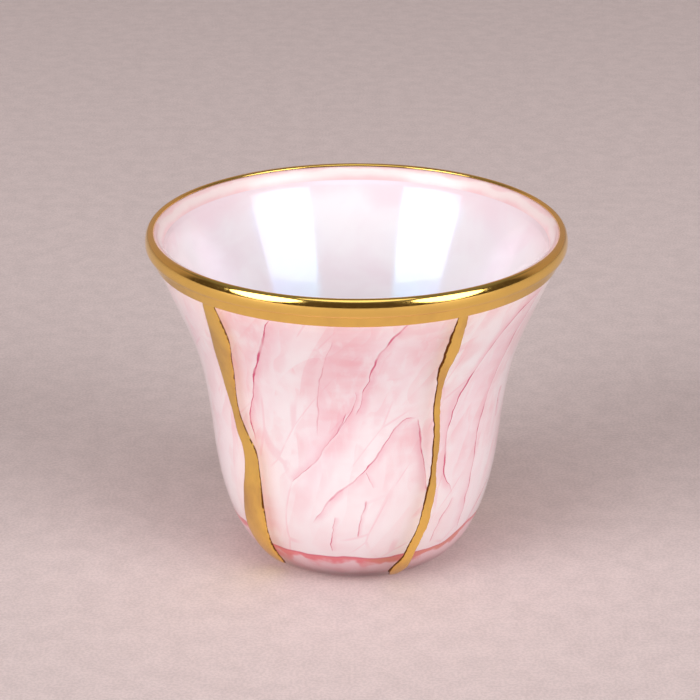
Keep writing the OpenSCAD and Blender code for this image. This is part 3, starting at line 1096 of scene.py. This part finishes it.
class CUP_OT_rim_band(bpy.types.Operator):
    """Wraps the gold band over the beaded lip, with soft rounded edges"""

    bl_idname = "cup.rim_band"
    bl_label = "Gold rim band"

    def execute(self, context):
        cup, colours, _ = settings()
        curves = section_curves(cup)
        start = share_at(curves["flare"], cup.cup_h - cup.band_h)
        legs = (
            ("flare", start, 1, 20), ("bead_under", 0, 1, 12), ("bead_over", 0, 1, 14),
            ("lip_inside", 0, cup.wrap_share, 12),
        )
        pieces = run(curves, legs)
        bed = run_points(pieces, -BOND)
        top = run_points(pieces, rounded_edges(bed, BAND_ROUND) * (cup.band_t + BOND) - BOND)
        profile = np.vstack((top, bed[-2:0:-1]))
        points, faces, _ = revolved(profile, COLUMNS, closed=True)
        material = bright_gold("gold_band", colours, 0.01 * MM, 0.15)
        piece = add_piece("gold_band", points, faces, [material], "gold", "rim_band")
        # Real glass bends the light so that the band's shadow on the enamel stays behind the band.
        piece.visible_shadow = False
        return {"FINISHED"}


class CUP_OT_gold_veins(bpy.types.Operator):
    """Lays the four raised gold veins on the wall, from under the band to the foot"""

    bl_idname = "cup.gold_veins"
    bl_label = "Gold veins"

    def execute(self, context):
        cup, colours, _ = settings()
        material = bright_gold("gold_vein", colours, 0.07 * MM, 0.6)
        for name, (shares, bearing, width, ragged, burn_and_shade_shares) in VEINS.items():
            points, faces, burn_and_shade = vein_mesh(
                cup, np.array(shares), math.radians(bearing), width * MM, ragged * MM, burn_and_shade_shares
            )
            piece = add_piece(
                f"vein_{name}", points, faces, [material], "gold", f"gold_vein_{name}"
            )
            # Each point's darkening at the edge: burnt gold and painted shade.
            attribute = piece.data.attributes.new("burn_and_shade", "FLOAT", "POINT")
            attribute.data.foreach_set("value", burn_and_shade)
        return {"FINISHED"}


def vein_mesh(cup, shares, bearing, width, ragged, burn_and_shade_shares):
    """A gold vein: a low round section carried up the wall, as points, faces and darkened edges.

    The heights lie closer together towards the foot. At each, the smooth curve through the shares
    gives the middle's bearing and the half width, and an uneven line makes each edge ragged. The
    section goes across the top, where the gold stands off the glass as the square root of 1 - u
    to the fourth, u being the way from the middle to an edge, and comes back under it, a little
    sunk into the glass. The gold thins where it is narrow, and towards the band, which it runs
    under. Each edge is darkened over an uneven share of the half width, about the one given for
    it: burnt gold, with painted shade along the raised edge.
    """
    top = cup.cup_h - cup.band_h + VEIN_TUCK
    knots = smooth_through(shares[::-1], 16)
    share = np.linspace(0, 1, VEIN_ROWS) ** 1.25
    height = cup.vein_foot_h + share * (top - cup.vein_foot_h)
    swing = cup.vein_swing * np.interp(share, knots[:, 0], knots[:, 1])
    half = width / 2 * np.interp(share, knots[:, 0], knots[:, 2])

    wall = run(section_curves(cup), (("heel", 0, 1, 200), ("flare", 0, 1, 200)))
    line, lifted = run_points(wall), run_points(wall, 1.0)
    off = np.column_stack([
        np.interp(height, line[:, 1], (lifted - line)[:, axis]) for axis in (0, 1)
    ])
    radius = np.interp(height, line[:, 1], line[:, 0])
    foot = np.column_stack((radius, height))

    u = np.linspace(-1, 1, VEIN_ACROSS)
    edges = [ragged * uneven(height / MM, seed) for seed in (round(1000 * width), 7)]
    edge = np.where(u < 0, edges[0][:, None], edges[1][:, None]) * np.abs(u)
    turn = bearing + swing[:, None] + (half[:, None] * u + edge) / radius[:, None]
    rise = cup.vein_t * np.sqrt(1 - u**4)
    full = np.clip(half / (0.4 * width), 0.3, 1) * np.interp(
        height, (top - VEIN_THINNING, top - VEIN_TUCK), (1, 0.5)
    )
    rise = rise * full[:, None]
    over = wall_points(foot, off, turn, rise)
    back = turn[:, -2:0:-1]
    under = wall_points(foot, off, back, np.full(back.shape, -BOND))
    ring = np.concatenate((over, under), axis=1)
    columns = ring.shape[1]
    points = ring.reshape(-1, 3)
    faces = ring_quads(VEIN_ROWS, columns, False).tolist()
    faces.append(list(range(columns))[::-1])
    faces.append(list(range(len(points) - columns, len(points))))
    # Shares of each half darkened at the edge, as burnt gold and painted shade of the raised side.
    share = [burn_and_shade_share * (0.8 + 0.3 * uneven(height / MM / 2, seed)) for seed, burn_and_shade_share in enumerate(burn_and_shade_shares)]
    share = np.where(u < 0, share[0][:, None], share[1][:, None])
    burn_and_shade = np.clip((np.abs(u) - 1 + share) / 0.1, 0, 1)
    burn_and_shade = np.concatenate((burn_and_shade, burn_and_shade[:, -2:0:-1]), axis=1).ravel()
    return points, faces, burn_and_shade


def uneven(way, seed):
    """An uneven line along a way in millimetres: seeded random steps every 2.2 and 0.7
    millimetres, joined by straight bits, the short ones at 0.6 of the long ones' height."""
    steps = np.random.default_rng(seed)
    line = np.zeros_like(way)
    for spacing, share in ((2.2, 1.0), (0.7, 0.6)):
        knots = np.arange(way.min(), way.max() + spacing, spacing)
        line += share * np.interp(way, knots, steps.uniform(-1, 1, len(knots)))
    return line


def wall_points(foot, off, turn, rise):
    """Points at these bearings, each at its row's place on the wall plus its rise off it."""
    place = foot[:, None, :] + rise[..., None] * off[:, None, :]
    return turned(place[..., 0], turn, place[..., 1])


class CUP_PT_panel(bpy.types.Panel):
    """Lists the cup's pieces and the values that shape and colour them"""

    bl_idname = "CUP_PT_panel"
    bl_label = "Coffee cup"
    bl_space_type = "VIEW_3D"
    bl_region_type = "UI"
    bl_category = "Coffee Cup"

    def draw(self, context):
        layout = self.layout
        for operator in OPERATORS:
            layout.operator(operator.bl_idname)
        for group in settings():
            box = layout.box()
            for name in group.bl_rna.properties.keys():
                if name not in ("rna_type", "name"):
                    box.prop(group, name)


GROUPS = {"cup_sizes": CupSizes, "cup_colours": CupColours, "cup_stage": StageSettings}
OPERATORS = (
    CUP_OT_stage,
    CUP_OT_glass_body,
    CUP_OT_marble_enamel,
    CUP_OT_pearl_lining,
    CUP_OT_rim_band,
    CUP_OT_gold_veins,
)


def register():
    for group in GROUPS.values():
        bpy.utils.register_class(group)
    for name, group in GROUPS.items():
        setattr(bpy.types.Scene, name, bpy.props.PointerProperty(type=group))
    for part in (*OPERATORS, CUP_PT_panel):
        bpy.utils.register_class(part)


def unregister():
    for part in (CUP_PT_panel, *reversed(OPERATORS)):
        bpy.utils.unregister_class(part)
    for name, group in GROUPS.items():
        delattr(bpy.types.Scene, name)
        bpy.utils.unregister_class(group)


def main():
    register()
    bpy.ops.cup.stage()
    bpy.ops.cup.glass_body()
    bpy.ops.cup.marble_enamel()
    bpy.ops.cup.pearl_lining()
    bpy.ops.cup.rim_band()
    bpy.ops.cup.gold_veins()


if __name__ == "__main__":
    main()
